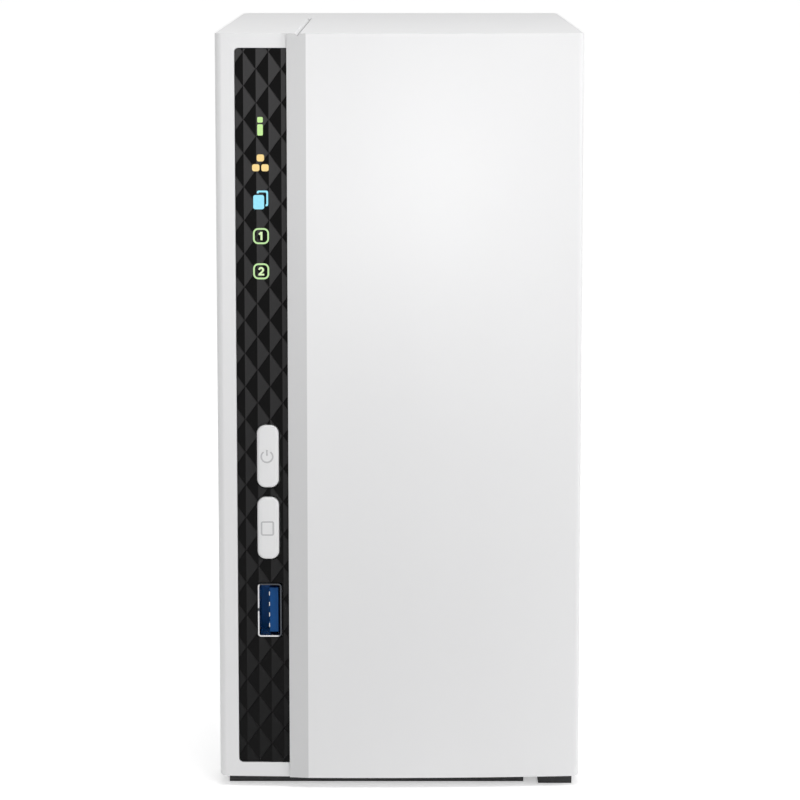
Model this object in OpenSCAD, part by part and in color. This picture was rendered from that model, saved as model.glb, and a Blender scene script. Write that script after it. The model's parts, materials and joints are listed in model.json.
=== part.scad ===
// Two-bay network attached storage, tower case.
// Millimetres. X across the front, Y from the front to the rear, Z up.
// The origin is at the centre of the footprint, on the surface the feet stand on.

/* [Case] */
// Width of the case
body_w = 90.18; // [90.1:0.02:90.3]
// Depth of the case, front bow to rear face
body_d = 156.26; // [156.2:0.02:156.6]
// Height of the case, feet included
body_h = 188.64; // [188.5:0.02:190]
// Height of the rubber feet
foot_h = 2.78; // [2.6:0.02:2.9]
// Wall thickness of the plastic shells
wall = 2.2; // [2.1:0.05:2.25]
// Radius of the gentle bow across the front
bow_r = 640; // [600:10:700]
// How far the raised front panel stands proud of the control strip side
front_step = 1.35; // [1.3:0.05:1.4]
// Where the lengthwise seam runs along the top
seam_x = -24.8; // [-25:0.1:-24.6]
// Left edge of the raised front panel
panel_x = -27.5; // [-27.6:0.1:-27.4]
// Depth of the removable cover along the side
cover_d = 110.5; // [110.4:0.1:110.8]

/* [Controls] */
// Width of both front buttons
button_w = 5.4; // [5.2:0.1:5.5]
// Height of both front buttons
button_h = 15.8; // [15.6:0.1:15.9]
// Corner radius of the buttons
button_r = 2.1; // [1.8:0.1:2.4]
// Height of the power button's centre
power_z = 84.3; // [84:0.1:84.6]
// Height of the copy button's centre
copy_z = 66.24; // [66:0.02:66.5]
// Height of the front USB socket's centre
usb_z = 45.4; // [45.2:0.1:45.6]

/* [Fan] */
// Outer size of the square fan frame
fan_w = 60; // [59.8:0.1:60]
// Number of fan blades
fan_blades = 7; // [5, 7, 9]
// Height of the fan's centre
fan_z = 118; // [116:0.5:120]

/* [Drives] */
// Length of a 3.5 inch drive
drive_l = 147; // [146.8:0.1:147]
// Width of a 3.5 inch drive
drive_d = 101.6; // [101.4:0.1:101.6]
// Thickness of a 3.5 inch drive
drive_t = 26.1; // [26:0.05:26.1]

/* [Hidden] */

hw = body_w / 2;
zb = foot_h;                 // underside of the case
zt = body_h;                 // top of the case
zi = zb + wall;              // inside floor
zc = zt - wall;              // inside ceiling
bow_x = -9;                  // where the front stands furthest forward
facet_x = -22.8;             // where the raised panel's left bevel ends
gap = 0.15;                  // parting gap between shells
corner_l = 1.8;              // left front corner radius
corner_r = 1.6;              // right front corner radius
edge_r = 1.0;                // radius of the case's two long lower edges
lip_x = 33.1;                // seam between floor and cover underneath
strip_x0 = -40.2;            // control strip, left edge
strip_x1 = -25.4;            // control strip, right edge, tucked under the raised panel
strip_z0 = 6.5;
strip_z1 = 185.05;
strip_back = 3.0;
front_in = 4.6;              // inside face of the left front wall
ctl_x = -32.55;              // centre line of the buttons
led_x = -34.0;               // centre line of the indicators
led_z = [166.0, 157.1, 148.0, 139.0, 130.3];
pcb_x0 = -36.9;
pcb_x1 = -35.3;
fan_x = 9;
fan_y0 = 128.76;
fan_y1 = 153.76;
fan_hole = 25;               // half the fan's hole spacing
drive_x = [-4.6, 26.2];      // centres of the two drives
drive_y0 = 6.8;
drive_z0 = 17;
bay_z0 = 13.2;               // underside of the trays
plat_z = 109;                // spindle height
plat_y = drive_y0 + drive_d / 2;
lan_z = 74;
usb_rear_z = [101, 121];
dc_z = 48;
reset_z = 148;
arm_y = 28;                  // pivot of the head arms
arm_z = 48;
case_screw_x = 38.6;
case_screw_z = [8.4, 180];
board_holes = [[30, 34], [134, 34], [30, 172 - 8], [128, 172 - 8]];
back_holes = [[-24, 27], [28, 27], [-24, 66], [28, 66]];
cage_holes = [[-15, 12], [25.5, 12], [-15, 102], [25.5, 102]];
$fn = 48;

bevel = (0.85 - bow(facet_x)) / (facet_x - panel_x);   // slope of the panel's left bevel
function strip_y(x) = bow(x) + front_step + 0.04;
function bow(x) = bow_r - sqrt(bow_r * bow_r - (x - bow_x) * (x - bow_x));

// Box from corner to corner
module bx(x0, x1, y0, y1, z0, z1) translate([x0, y0, z0]) cube([x1 - x0, y1 - y0, z1 - z0]);
// Rods along each axis
module rod_y(x, z, y0, y1, r) translate([x, y0, z]) rotate([-90, 0, 0]) cylinder(r = r, h = y1 - y0);
module rod_x(y, z, x0, x1, r) translate([x0, y, z]) rotate([0, 90, 0]) cylinder(r = r, h = x1 - x0);
module rod_z(x, y, z0, z1, r) translate([x, y, z0]) cylinder(r = r, h = z1 - z0);
// Flat rounded rectangle about its centre
module rr2(w, h, r) {
    square([w - 2 * r, h], center = true);
    square([w, h - 2 * r], center = true);
    for (i = [-1, 1], j = [-1, 1]) translate([i * (w / 2 - r), j * (h / 2 - r)]) circle(r = r);
}
// Rounded plate standing in XZ, running along Y
module rplate(x, z, w, h, r, y0, y1) translate([x, y1, z]) rotate([90, 0, 0]) linear_extrude(y1 - y0) rr2(w, h, r);
// Everything is drawn with the front at y = 0 and moved so that the footprint is centred
module place() translate([0, -body_d / 2, 0]) children();

// Plan of the raised side: bowed front with a rounded right corner
module bow_plan(back, xl, xr, r, off) {
    cx = xr - r;
    cy = off + bow_r - sqrt(pow(bow_r - r, 2) - pow(cx - bow_x, 2));
    xt = bow_x + (cx - bow_x) * bow_r / (bow_r - r);
    union() {
        intersection() {
            translate([bow_x, bow_r + off]) circle(r = bow_r, $fn = 1440);
            translate([xl, off - 1]) square([xt - xl, back - off + 1]);
        }
        translate([cx, cy]) circle(r = r);
        translate([cx, cy]) square([r, back - cy]);
    }
}
// Plan of the strip side: the same bow set back, with a rounded left corner
module left_plan(back, xl, xr, r, off) {
    cx = xl + r;
    cy = off + bow_r - sqrt(pow(bow_r - r, 2) - pow(cx - bow_x, 2));
    xt = bow_x + (cx - bow_x) * bow_r / (bow_r - r);
    union() {
        intersection() {
            translate([bow_x, bow_r + off]) circle(r = bow_r, $fn = 1440);
            translate([xt, off - 1]) square([xr - xt, back - off + 1]);
        }
        translate([cx, cy]) circle(r = r);
        translate([xl, cy]) square([r, back - cy]);
    }
}
// Plan of the hood: rectangle with rounded rear corners
module hood_plan(y0, y1, r) {
    translate([-hw, y0]) square([body_w, y1 - y0 - r]);
    translate([-hw + r, y0]) square([body_w - 2 * r, y1 - y0]);
    for (i = [-1, 1]) translate([i * (hw - r), y1 - r]) circle(r = r);
}
// Screw along Y: the head's outer face at y, the shank running to y + dir * length
module screw_y(x, z, y, dir, hr, hh, sr, length) translate([x, y, z]) rotate([dir > 0 ? -90 : 90, 0, 0]) screw(hr, hh, sr, length);
// Screw along +Z from its head's outer face at the origin, with a cross recess
module screw(hr, hh, sr, length) difference() {
    union() {
        cylinder(r = hr, h = hh);
        cylinder(r = sr, h = length);
    }
    for (a = [0, 90]) rotate([0, 0, a]) translate([-hr * 0.55, -hr * 0.11, -0.1]) cube([hr * 1.1, hr * 0.22, hh * 0.65 + 0.1]);
}

// ---------------------------------------------------------------- case
// Block that rounds the two long lower edges of the case
module envelope() translate([0, body_d + 5, 0]) rotate([90, 0, 0]) linear_extrude(body_d + 10) {
    translate([-hw, zb + edge_r]) square([body_w, zt - zb - edge_r + 1]);
    translate([edge_r - hw, zb]) square([body_w - 2 * edge_r, zt - zb]);
    for (i = [-1, 1]) translate([i * (hw - edge_r), zb + edge_r]) circle(r = edge_r);
}
module chassis_shell() color("white") place() intersection() {
    envelope();
    chassis_body();
}
module chassis_body() difference() {
    union() {
        difference() {
            union() {
                // left channel with the front left wall
                translate([0, 0, zb]) linear_extrude(zt - zb) left_plan(cover_d + 2, -hw, seam_x - gap, corner_l, front_step);
                // rear hood
                translate([0, 0, zb]) linear_extrude(zt - zb) hood_plan(cover_d + gap, body_d, 2);
                // floor, its front edge following the raised panel
                translate([0, 0, zb]) linear_extrude(wall) intersection() {
                    translate([bow_x, bow_r + wall + 0.3]) circle(r = bow_r, $fn = 1440);
                    translate([-40, 0]) square([40 + lip_x - gap, cover_d + 5]);
                }
            }
            // inside of the channel and of the hood
            bx(-hw + wall, seam_x + 30, front_in, cover_d + 10, zi, zc);
            bx(-hw + wall, hw - wall, cover_d + gap + 0 - 1, body_d + 1, zi, zc);
            // seat of the rear panel
            bx(-hw + wall - 0.7, hw - wall + 0.7, body_d - 2.5, body_d + 1, zi - 0.7, zc + 0.7);
            // pocket for the control strip
            intersection() {
                rplate((strip_x0 - 0.1 - 20) / 2, (strip_z0 + strip_z1) / 2, -20 - strip_x0 + 0.1, strip_z1 - strip_z0 + 0.2, 1.05, -2, strip_back);
                bx(-60, seam_x + 5, -3, 10, 0, body_h);
            }
        }
        // standoffs for the mainboard
        for (h = board_holes) rod_x(h[0], h[1], -hw + wall - 0.5, pcb_x0, 3.2);
        // standoffs for the backplane
        for (h = back_holes) rod_z(h[0], h[1], zi - 0.5, 8, 3);
        // standoffs for the drive cage
        for (h = cage_holes) rod_z(h[0], h[1], zb + 0.3, 12, 4.6);
        // rail that the top of the cover slides over
        bx(seam_x - 2.5, seam_x + 3, 16, 104, zc - 1.8, zc - 0.2);
        bx(seam_x - 2.5, seam_x - 0.8, 16, 104, zc - 1.8, zc + 0.5);
        // screw blocks for the rear panel
        bx(-hw + wall - 0.5, -35.2, 143, body_d - 2.5, zi - 0.5, 11.8);
        bx(-hw + wall - 0.5, -35.2, 143, body_d - 2.5, 176.6, zc + 0.5);
        // guide frame behind the buttons
        difference() {
            bx(ctl_x - 5, ctl_x + 5, front_in - 0.3, 6.6, copy_z - 9.6, power_z + 9.6);
            for (z = [power_z, copy_z]) bx(ctl_x - 3.85, ctl_x + 3.85, front_in - 1, 7, z - button_h / 2 - 0.7, z + button_h / 2 + 0.7);
        }
    }
    // openings in the front left wall
    for (z = [power_z, copy_z]) rplate(ctl_x, z, button_w + 0.4, button_h + 0.4, button_r + 0.2, -1, 8);
    bx(-35.5, -29.2, -1, 8, usb_z - 7.0, usb_z + 7.0);
    for (z = led_z) bx(led_x - 2.35, led_x + 2.35, -1, 8, z - 2.6, z + 2.6);
    // screw holes
    for (h = board_holes) rod_x(h[0], h[1], -42, pcb_x0 + 1, 1.3);
    for (h = back_holes) rod_z(h[0], h[1], 4.4, 9, 1.3);
    for (h = cage_holes) {
        rod_z(h[0], h[1], zb - 1, 13, 1.6);
        rod_z(h[0], h[1], zb - 1, 5.3, 3.2);
    }
    for (z = case_screw_z) rod_y(-case_screw_x, z, 145, body_d, 1.3);
    // air intake slots in the floor
    for (i = [0:7]) bx(-11 + i * 5, -8 + i * 5, 74, 96, zb - 1, zi + 1);
    for (i = [0:5]) bx(-40, -28, 34 + i * 6, 37 + i * 6, zb - 1, zi + 1);
    // softened edge along the top seam
    translate([seam_x - gap, -5, zt]) rotate([0, 45, 0]) translate([-0.42, 0, -0.42]) cube([0.84, cover_d + 5, 0.84]);
}

module rear_panel() color("white") place() difference() {
    bx(-hw + wall - 0.6, hw - wall + 0.6, body_d - 2.5, body_d, zi - 0.6, zc + 0.6);
    // fan grille: round holes on a hexagonal grid
    for (i = [-5:5], j = [-5:5])
        let (px = 5.3 * (i + j / 2), pz = 5.3 * j * 0.8660254, d = sqrt(px * px + pz * pz))
        if (d < 27) rod_y(fan_x + px, fan_z + pz, body_d - 4, body_d + 1, 2.15);
    // fan screws, sunk
    for (i = [-1, 1], j = [-1, 1]) {
        rod_y(fan_x + i * fan_hole, fan_z + j * fan_hole, body_d - 4, body_d + 1, 2.3);
        rod_y(fan_x + i * fan_hole, fan_z + j * fan_hole, body_d - 1.5, body_d + 1, 3.7);
    }
    // case screws, sunk
    for (i = [-1, 1], z = case_screw_z) {
        rod_y(i * case_screw_x, z, body_d - 4, body_d + 1, 1.7);
        rod_y(i * case_screw_x, z, body_d - 1.5, body_d + 1, 3.0);
    }
    // sockets
    bx(-35.5, -21.8, body_d - 4, body_d + 1, lan_z - 8.15, lan_z + 8.15);
    for (z = usb_rear_z) bx(-35.5, -29.4, body_d - 4, body_d + 1, z - 6.8, z + 6.8);
    bx(-35.5, -26.1, body_d - 4, body_d + 1, dc_z - 4.7, dc_z + 4.7);
    // pinhole for the reset switch
    rod_y(-32.3, reset_z, body_d - 4, body_d + 1, 1.1);
    // security slot
    rplate(-28, 171, 7, 3, 0.4, body_d - 4, body_d + 1);
    // exhaust slots under the fan
    for (i = [0:9]) rplate(-11 + i * 4.4, 34, 2.2, 26, 1.05, body_d - 4, body_d + 1);
}

// Plan of the cover: its thin lip laps over the strip, and its left edge is bevelled
module cover_plan() difference() {
    bow_plan(cover_d, panel_x, hw, corner_r, 0);
    translate([panel_x - 1, 1.5]) square([seam_x - panel_x + 1, cover_d]);
    polygon([[-30, -3], [facet_x + 2, -3], [facet_x + 2, bow(facet_x) - 2 * bevel], [panel_x - 1, 0.85 + bevel], [-30, 0.85]]);
}
module case_cover() color("white") place() intersection() {
    envelope();
    cover_body();
}
module cover_body() difference() {
    union() {
        difference() {
            // raised front panel, top, side and lower lip in one outline
            translate([0, 0, zb]) linear_extrude(zt - zb) cover_plan();
            // hollow
            translate([0, 0, zi]) linear_extrude(zc - zi) intersection() {
                translate([bow_x, bow_r + wall]) circle(r = bow_r, $fn = 1440);
                translate([seam_x - 1, 0]) square([hw - wall - seam_x + 1, cover_d + 1]);
            }
            // no floor left of the lower lip
            translate([0, 0, zb - 1]) linear_extrude(wall + 2) intersection() {
                translate([bow_x, bow_r + wall]) circle(r = bow_r, $fn = 1440);
                translate([seam_x - 1, 0]) square([lip_x - seam_x + 1, cover_d + 1]);
            }
        }
        // tongue over the floor
        bx(lip_x, lip_x + 3, 20, 96, zi - 0.5, zi + 1.6);
        bx(lip_x - 1.6, lip_x + 1, 20, 96, zi + 0.2, zi + 1.6);
        // stiffening ribs under the top, above the trays
        for (y = [10, 94]) bx(seam_x + 6, 40, y, y + 1.4, zc - 2.6, zc + 0.5);
        // arms that reach back to the rear screws
        for (z = case_screw_z) {
            bx(40.2, hw - wall - 0.3, 96, 151, z - 3.2, z + 3.2);
            bx(40.2, hw - wall + 0.5, 96, cover_d - 1, z - 3.2, z + 3.2);
            bx(35.2, 42.2, 142, 151, z - 3.2, z + 3.2);
        }
    }
    for (z = case_screw_z) rod_y(case_screw_x, z, 141, 152, 1.5);
    // softened edge along the top seam
    translate([seam_x, -5, zt]) rotate([0, 45, 0]) translate([-0.42, 0, -0.42]) cube([0.84, cover_d + 8, 0.84]);
}

// Plan of the strip: its face follows the bow closely enough to be drawn flat
module strip_plan(back) polygon([[strip_x0 - 3, strip_y(strip_x0) + 3 * (strip_y(strip_x0) - strip_y(strip_x1)) / (strip_x1 - strip_x0)],
    [strip_x1, strip_y(strip_x1)], [strip_x1, back], [strip_x0 - 3, back]]);
module front_strip() color("#1c1c1c") place() difference() {
    intersection() {
        translate([0, 0, strip_z0]) linear_extrude(strip_z1 - strip_z0) strip_plan(strip_back);
        rplate((strip_x0 - 10) / 2, (strip_z0 + strip_z1) / 2, -10 - strip_x0, strip_z1 - strip_z0, 1, 0, 6);
    }
    for (z = [power_z, copy_z]) rplate(ctl_x, z, button_w + 0.4, button_h + 0.4, button_r + 0.2, -1, 8);
    rplate(-32.34, usb_z, 6.3, 13.9, 0.5, -1, 8);
    bars(0.03);
    squares(0.03);
    sheets(0.03);
    window(3, 0.03);
    window(4, 0.03);
}
// The lit shapes: two bars, three squares, a sheet pair, two square windows
module bars(s) {
    rplate(led_x, led_z[0] + 1.6, 1.45 + s, 1.45 + s, 0.2, -1, 3.05);
    rplate(led_x, led_z[0] - 0.95, 1.45 + s, 2.9 + s, 0.2, -1, 3.05);
}
module squares(s) {
    rplate(led_x, led_z[1] + 1.19, 1.75 + s, 1.7 + s, 0.45, -1, 3.05);
    for (i = [-1, 1]) rplate(led_x + i * 1.12, led_z[1] - 1.18, 1.75 + s, 1.7 + s, 0.45, -1, 3.05);
}
module sheets(s) rplate(led_x, led_z[2], 3.9 + s, 4.6 + s, 0.5, -1, 3.05);
module window(i, s) rplate(led_x, led_z[i], 4.0 + s, 4.0 + s, 0.9, -1, 3.05);
// Clear guide: its face is flush with the strip, its block reaches back to the lamp
module guide(i) union() {
    bx(led_x - 2.25, led_x + 2.25, strip_back + 0.02, 7.8, led_z[i] - 2.5, led_z[i] + 2.5);
    bx(pcb_x1 + 0.2, pcb_x1 + 1.9, 7.7, 8.6, led_z[i] - 1.4, led_z[i] + 1.4);
    intersection() {
        children();
        translate([0, 0, 100]) linear_extrude(90) strip_plan(3.05);
    }
}
module status_light_guide() color("palegreen") place() guide(0) bars(0);
module lan_light_guide() color("moccasin") place() guide(1) squares(0);
module usb_light_guide() color("paleturquoise") place() guide(2) sheets(0);
module disk_light_guides() color("palegreen") place() for (i = [3, 4]) guide(i) window(i, 0);
// Side-firing lamps along the board's front edge
module indicator_leds() color("ivory") place() for (z = led_z) bx(pcb_x1, pcb_x1 + 2.0, 8.7, 10.5, z - 1.5, z + 1.5);

module foot_bars() color("#303030") place() {
    bx(-43, 31.4, 7.5, 15.5, 0, zb);
    bx(-43, 43, 139, 147, 0, zb);
}
module cover_foot() color("#303030") place() bx(35, 43.5, 5.7, 14.5, 0, zb);

// ---------------------------------------------------------------- controls
module button(z) union() {
    rplate(ctl_x, z, button_w, button_h, button_r, 1.25, 5.0);
    bx(ctl_x - 3.6, ctl_x + 3.6, front_in + 0.1, front_in + 1.2, z - button_h / 2 - 0.5, z + button_h / 2 + 0.5);
    rod_y(ctl_x, z, front_in + 1, 7.34, 1.6);
}
module power_button() color("whitesmoke") place() button(power_z);
module copy_button() color("whitesmoke") place() button(copy_z);
// Right-angle push switch, 6 mm class
module tact(z, y0, dir) difference() {
    bx(pcb_x1, pcb_x1 + 5.6, dir > 0 ? y0 : y0 - 3.6, dir > 0 ? y0 + 3.6 : y0, z - 3.6, z + 3.6);
    rod_y(ctl_x, z, dir > 0 ? y0 - 0.1 : y0 - 2.2, dir > 0 ? y0 + 2.2 : y0 + 0.1, 1.56);
}
module tact_switches() color("#2a2a2a") place() {
    tact(power_z, 8.8, 1);
    tact(copy_z, 8.8, 1);
    tact(reset_z, 150.6, -1);
}
module power_switch_plunger() color("dimgray") place() rod_y(ctl_x, power_z, 7.9, 10.6, 1.5);
module copy_switch_plunger() color("dimgray") place() rod_y(ctl_x, copy_z, 7.9, 10.6, 1.5);
module reset_plunger() color("dimgray") place() rod_y(ctl_x, reset_z, 148.8, 152.6, 1.5);

// ---------------------------------------------------------------- sockets
// USB-A shell: a folded tube, open at its mouth, with a closed back
module usb_shell(z, x0, y0, y1, w, h, t, dir) difference() {
    rplate(x0 + w / 2, z, w, h, 0.8, y0, y1);
    rplate(x0 + w / 2, z, w - 2 * t, h - 2 * t, 0.8 - t, dir > 0 ? y0 + t : y0 - 1, dir > 0 ? y1 + 1 : y1 - t);
}
module front_usb_shell() color("silver") place() usb_shell(usb_z, -35.3, 1.7, 17, 5.9, 13.5, 0.35, -1);
// Tongue and the block that fills the back of the shell
module usb_tongue(z, xa, xb, xc, xd, y_tip, y_blk, y_end, h, dir) union() {
    bx(xc, xd, min(y_tip, y_blk) - (dir > 0 ? 0.5 : 0), max(y_tip, y_blk) + (dir > 0 ? 0 : 0.5), z - 5.6, z + 5.6);
    rplate((xa + xb) / 2, z, xb - xa, h, 0.5, min(y_blk, y_end), max(y_blk, y_end));
}
module front_usb_tongue() color("#1c4f9c") place() usb_tongue(usb_z, -34.9, -29.8, -32.35, -30.25, 2.5, 11.5, 16.6, 12.7, -1);
module front_usb_contacts() color("gold") place() for (i = [-4, -1.35, 1.35, 4]) bx(-32.55, -32.35, 2.9, 11.4, usb_z + i - 0.5, usb_z + i + 0.5);
module rear_usb_shells() color("silver") place() for (z = usb_rear_z) usb_shell(z, -35.3, 141.5, 155.8, 5.7, 13.1, 0.35, 1);
module rear_usb_tongues() color("#202020") place() for (z = usb_rear_z) usb_tongue(z, -34.9, -30.0, -32.2, -30.3, 155.2, 146, 141.9, 12.3, 1);
module lan_jack_shell() color("silver") place() difference() {
    bx(pcb_x1, -22.0, 134.3, 155.8, lan_z - 7.95, lan_z + 7.95);
    bx(pcb_x1 + 0.3, -22.3, 134.6, 157, lan_z - 7.65, lan_z + 7.65);
}
module lan_jack_insert() color("#1e1e1e") place() difference() {
    bx(pcb_x1 + 0.32, -22.32, 134.62, 155.6, lan_z - 7.63, lan_z + 7.63);
    bx(-33.5, -26.3, 142.5, 157, lan_z - 5.95, lan_z + 5.95);
    bx(-27, -24.6, 146, 157, lan_z - 3.3, lan_z + 3.3);
    bx(-25, -23.4, 149, 157, lan_z - 1.9, lan_z + 1.9);
}
module dc_jack() color("#1a1a1a") place() union() {
    difference() {
        bx(pcb_x1, -26.3, 141.6, 155.8, dc_z - 4.5, dc_z + 4.5);
        rod_y(-30.8, dc_z, 146.2, 157, 3.2);
    }
    rod_y(-30.8, dc_z, 145.8, 155.2, 1.0);
}

// ---------------------------------------------------------------- mainboard
module mainboard() color("#1d5c38") place() difference() {
    translate([pcb_x0, 0, 0]) rotate([90, 0, 90]) linear_extrude(pcb_x1 - pcb_x0)
        polygon([[8, 30], [38, 30], [38, 9.8], [64, 9.8], [64, 26], [150, 26], [150, 164], [142, 172], [8, 172]]);
    for (h = board_holes) rod_x(h[0], h[1], pcb_x0 - 1, pcb_x1 + 1, 1.6);
    bx(pcb_x0 - 1, pcb_x1 + 1, 7, 8.6, power_z - 12, power_z + 12);
}
module processor() color("#262626") place() bx(pcb_x1, pcb_x1 + 1.4, 66.5, 83.5, 101.5, 118.5);
module thermal_pad() color("lightsteelblue") place() bx(pcb_x1 + 1.4, pcb_x1 + 1.9, 67.5, 82.5, 102.5, 117.5);
module heat_sink() color("gainsboro") place() union() {
    bx(pcb_x1 + 1.9, pcb_x1 + 3.9, 56, 94, 91, 129);
    for (i = [0:7]) bx(pcb_x1 + 3.4, pcb_x1 + 11, 56 + i * 5.25, 57.25 + i * 5.25, 91, 129);
}
module board_chips() color("#222222") place() {
    for (z = [136, 78]) bx(pcb_x1, pcb_x1 + 1.1, 70, 80, z, z + 8.5);
    bx(pcb_x1, pcb_x1 + 1.0, 102, 115, 134, 145);
    bx(pcb_x1, pcb_x1 + 0.9, 114, 121, 70, 77);
    bx(pcb_x1, pcb_x1 + 1.6, 116, 126, 84, 94);
    bx(pcb_x1, pcb_x1 + 0.9, 40, 46, 100, 106);
}
module capacitors() color("#3b3b3b") place() for (p = [[104, 46], [113, 46], [122, 46], [104, 58], [34, 60]]) rod_x(p[0], p[1], pcb_x1, pcb_x1 + 7.5, 3.15);
module inductors() color("#4a4a4a") place() for (p = [[84, 42], [84, 54], [44, 60], [56, 60]]) bx(pcb_x1, pcb_x1 + 4, p[0], p[0] + 7, p[1], p[1] + 7);
module coin_cell_holder() color("#202020") place() difference() {
    union() {
        rod_x(42, 138, pcb_x1, pcb_x1 + 3.4, 11.6);
        bx(pcb_x1, pcb_x1 + 3.4, 29, 42, 134, 142);
    }
    rod_x(42, 138, pcb_x1 + 0.8, pcb_x1 + 5, 10.1);
}
module coin_cell() color("silver") place() rod_x(42, 138, pcb_x1 + 0.8, pcb_x1 + 4.0, 10.0);
module buzzer() color("black") place() difference() {
    rod_x(92, 150, pcb_x1, pcb_x1 + 4.2, 4.6);
    rod_x(92, 150, pcb_x1 + 3, pcb_x1 + 5, 0.8);
}
module fan_header() color("ivory") place() bx(pcb_x1, pcb_x1 + 3.4, 116, 122, 112.9, 123.1);
module fan_plug() color("ivory") place() bx(pcb_x1 + 3.4, pcb_x1 + 8.2, 116.2, 121.8, 113.1, 122.9);
// Sleeved lead from the plug to the side of the fan frame
module elbow(r, c, q) intersection() {
    translate([c[0], c[1], 118]) rotate_extrude() translate([r, 0]) circle(r = 1.05, $fn = 24);
    translate([c[0] + (q[0] < 0 ? -r - 2 : 0), c[1] + (q[1] < 0 ? -r - 2 : 0), 116]) cube([r + 2, r + 2, 4]);
}
module fan_lead() color("#222222") place() union() {
    rod_x(119, 118, -27.1, -25.9, 1.05);
    elbow(3, [-25.9, 122], [1, -1]);
    rod_y(-22.9, 118, 122, 134, 1.05);
    elbow(2, [-20.9, 134], [-1, 1]);
}

// ---------------------------------------------------------------- drive bay
module backplane_board() color("#1d5c38") place() difference() {
    bx(-35.2, 32, 22, 71, 8, 9.6);
    for (h = back_holes) rod_z(h[0], h[1], 7, 11, 1.6);
}
module board_connector() color("#1b1b1b") place() bx(pcb_x1, -29, 39, 63, 9.6, 17);
module sata_connectors() color("black") place() for (x = drive_x) difference() {
    bx(x - 9.6, x - 3.6, 18, 62, 9.6, 21.5);
    bx(x - 7.8, x - 5.9, 20, 34, 14, 22);
    bx(x - 7.8, x - 5.9, 36.5, 60, 14, 22);
}
module drive_cage() color("silver") place() difference() {
    union() {
        bx(-20.6, 39.2, 5, 110, 12, 13.2);
        bx(-20.6, -19.6, 5, 110, 12, 160);
        bx(10.2, 11.2, 8, 108, 12, 120);
        bx(-20.6, 39.2, 110.3, 111.5, 12, 150);
        bx(-20.6, 39.2, 109.6, 111.5, 12, 13.2);
    }
    for (x = drive_x) bx(x - 10.4, x - 2.8, 16, 64, 11, 14);
    for (y = [16, 61]) bx(-22, -18, y, y + 36, 28, 146);
    for (y = [18, 62]) bx(9, 12, y, y + 34, 26, 108);
    for (x = [-14, 15]) bx(x, x + 21, 108, 113, 30, 138);
    for (h = cage_holes) rod_z(h[0], h[1], 11, 14, 1.5);
}
module tray(cx) difference() {
    union() {
        bx(cx - 14.3, cx + 13.4, 5, 110.2, bay_z0, 166);
        // finger bail on top
        bx(cx - 5, cx + 4, 40, 75, 165, 179);
    }
    // drive pocket, open on one side
    bx(cx - 13.1, cx + 20, drive_y0 - 0.05, drive_y0 + drive_d + 0.05, drive_z0 - 0.05, 164.1);
    // windows in the back plate
    for (y = [14, 62]) bx(cx - 16, cx - 12, y, y + 38, 28, 154);
    // passage for the connector
    bx(cx - 11, cx - 2.4, 14, 66, bay_z0 - 1, 18);
    // hole of the bail
    bx(cx - 6, cx + 5, 44, 71, 168, 175.5);
    // screw holes with sunk heads
    for (z = [drive_z0 + 28.5, drive_z0 + 130.1]) {
        rod_y(cx - 6.7, z, 4, 112, 1.75);
        rod_y(cx - 6.7, z, 4, 6.0, 3.1);
        rod_y(cx - 6.7, z, 109.2, 112, 3.1);
    }
}
module drive_tray_1() color("#2b2b2b") place() tray(drive_x[0]);
module drive_tray_2() color("#2b2b2b") place() tray(drive_x[1]);
// Cast drive body with its platter well, spindle post and connector notch
module drive(cx) union() {
    difference() {
        bx(cx - drive_t / 2, cx + drive_t / 2 - 1, drive_y0, drive_y0 + drive_d, drive_z0, drive_z0 + drive_l);
        rod_x(plat_y, plat_z, cx - 8, cx + 14, 48.2);
        bx(cx - 6, cx + 14, drive_y0 + 8, drive_y0 + 60, 33.5, 84);
        bx(cx - 14, cx - 11.6, drive_y0 + 6, drive_y0 + 94, 23, 74);
        bx(cx - 10.6, cx - 2.6, 16, 64, 16, 23);
        for (z = [drive_z0 + 28.5, drive_z0 + 130.1]) {
            rod_y(cx - 6.7, z, drive_y0 - 1, drive_y0 + 4, 1.65);
            rod_y(cx - 6.7, z, drive_y0 + drive_d - 4, drive_y0 + drive_d + 1, 1.65);
        }
    }
    rod_x(plat_y, plat_z, cx - 9, cx + 8, 3.0);
    rod_x(arm_y, arm_z, cx - 7, cx + 8.5, 3.0);
}
module hard_drive_1() color("darkgray") place() drive(drive_x[0]);
module hard_drive_2() color("darkgray") place() drive(drive_x[1]);
module drive_lids() color("gainsboro") place() for (cx = drive_x) union() {
    translate([cx + drive_t / 2 - 1, drive_y0 + drive_d / 2, (32 + 162.6) / 2]) rotate([90, 0, 90]) linear_extrude(0.8) rr2(98.6, 162.6 - 32, 4);
    rod_x(plat_y, plat_z, cx + drive_t / 2 - 0.3, cx + drive_t / 2, 42);
}
module drive_boards() color("#1d5c38") place() for (cx = drive_x) bx(cx - drive_t / 2 + 0.1, cx - 11.7, drive_y0 + 6.3, drive_y0 + 93.7, 23.3, 73.7);
module platters(cx) difference() {
    union() {
        rod_x(plat_y, plat_z, cx - 7.4, cx + 9.5, 13);
        for (x = [-4, 3]) rod_x(plat_y, plat_z, cx + x, cx + x + 1.3, 47.5);
    }
    rod_x(plat_y, plat_z, cx - 8.5, cx + 8.2, 3.05);
}
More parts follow.
